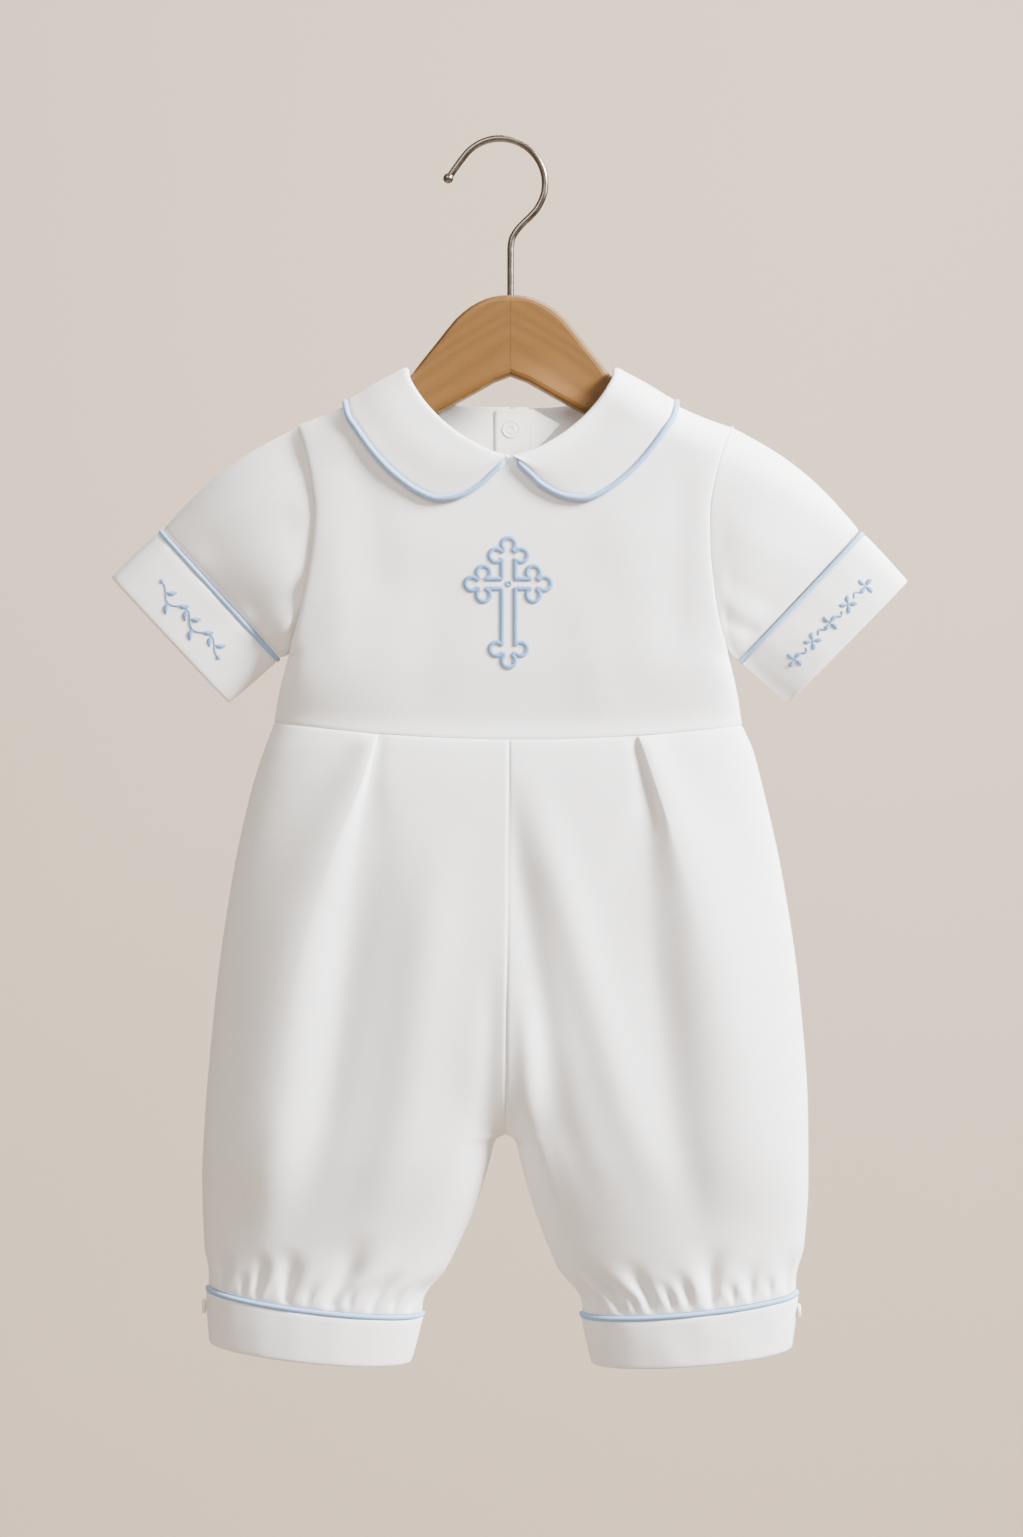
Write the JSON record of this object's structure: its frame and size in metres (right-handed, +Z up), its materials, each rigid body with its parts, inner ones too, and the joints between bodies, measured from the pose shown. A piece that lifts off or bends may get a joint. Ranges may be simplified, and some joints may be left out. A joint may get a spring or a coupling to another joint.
{
  "type": "baptism romper on a wooden hanger",
  "caption": "Baby's white short-sleeved baptism romper with a flat collar, blue piping and gathered leg cuffs, hung on a wooden hanger with a wire hook.",
  "frame": {"origin": "top of the inside of the hanger's hook, where a rail or nail carries it", "axes": "+Z up; the romper's front faces -Y; the wearer's left is +X"},
  "size_m": [0.3985, 0.0556, 0.6145],
  "materials": {
    "white_cloth": "warm white cotton satin",
    "blue_piping": "light blue satin piping",
    "beech": "satin lacquered beech",
    "nickel_wire": "brushed nickel wire",
    "pearl_button": "white glossy plastic"
  },
  "bodies": {
    "root": {"back_placket": "white_cloth", "bodice_back_left": "white_cloth", "bodice_back_right": "white_cloth", "bodice_front": "white_cloth", "collar_left": "white_cloth", "collar_piping_left": "blue_piping", "collar_piping_right": "blue_piping", "collar_right": "white_cloth", "hanger_hook": "nickel_wire", "hanger_wood": "beech", "leg_back_left": "white_cloth", "leg_back_right": "white_cloth", "leg_button_left": "pearl_button", "leg_button_right": "pearl_button", "leg_cuff_left": "white_cloth", "leg_cuff_right": "white_cloth", "leg_front_left": "white_cloth", "leg_front_right": "white_cloth", "leg_piping_left": "blue_piping", "leg_piping_right": "blue_piping", "neck_button": "pearl_button", "sleeve_cuff_left": "white_cloth", "sleeve_cuff_right": "white_cloth", "sleeve_left": "white_cloth", "sleeve_piping_left": "blue_piping", "sleeve_piping_right": "blue_piping", "sleeve_right": "white_cloth"}
  },
  "joints": []
}
